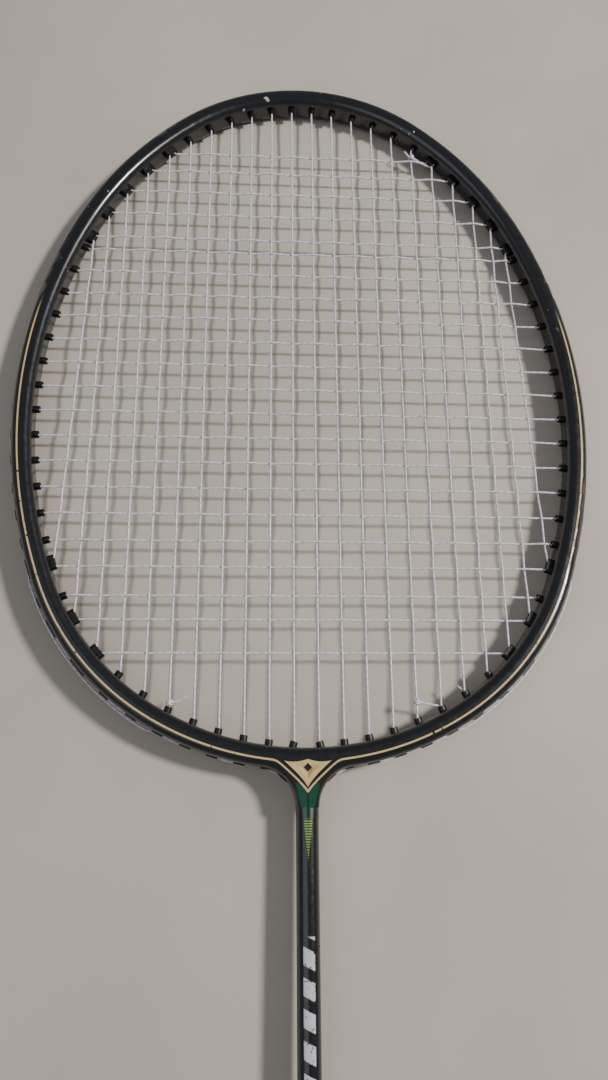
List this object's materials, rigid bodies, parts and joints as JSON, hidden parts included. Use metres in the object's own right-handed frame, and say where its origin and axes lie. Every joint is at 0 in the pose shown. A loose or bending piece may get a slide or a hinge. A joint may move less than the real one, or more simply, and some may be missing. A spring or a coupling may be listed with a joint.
{
  "type": "badminton racket",
  "caption": "Badminton racket with an oval hollow hoop, a woven string bed in grommets, a moulded throat, a tubular shaft and a wrapped octagonal handle.",
  "frame": {"origin": "centre of the butt cap's flat end face", "axes": "+Y along the racket from the butt to the crown, +Z square to the string bed, +X across the head; the strings lie about z = 0"},
  "size_m": [0.2008, 0.6654, 0.028],
  "materials": {
    "frame_gloss": "clear gloss lacquer over black graphite",
    "peg_alloy": "plain turned alloy",
    "plug_foam": "plain foam",
    "grommet_black": "satin moulded nylon",
    "string_white": "coated multifilament with a blue tracer",
    "handle_wood": "plain sanded",
    "cone_black": "moulded, satin",
    "ring_gold": "gold metallised",
    "grip_dark": "perforated synthetic leather",
    "band_tape": "vinyl tape",
    "steel": "plain wire",
    "cap_black": "moulded, fine grain"
  },
  "bodies": {
    "root": {"head_frame": "frame_gloss", "throat_peg": "peg_alloy", "shaft": "frame_gloss", "shaft_plug": "plug_foam", "grommets_crown": "grommet_black", "grommets_throat": "grommet_black", "grommets_left": "grommet_black", "grommets_right": "grommet_black", "grommets_shared": "grommet_black", "main_string": "string_white", "cross_string": "string_white", "handle_core": "handle_wood", "cone_cap": "cone_black", "cone_ring": "ring_gold", "grip_wrap": "grip_dark", "grip_band": "band_tape", "grip_staple": "steel", "butt_cap": "cap_black", "butt_disc": "ring_gold", "butt_tacks": "steel"}
  },
  "joints": []
}
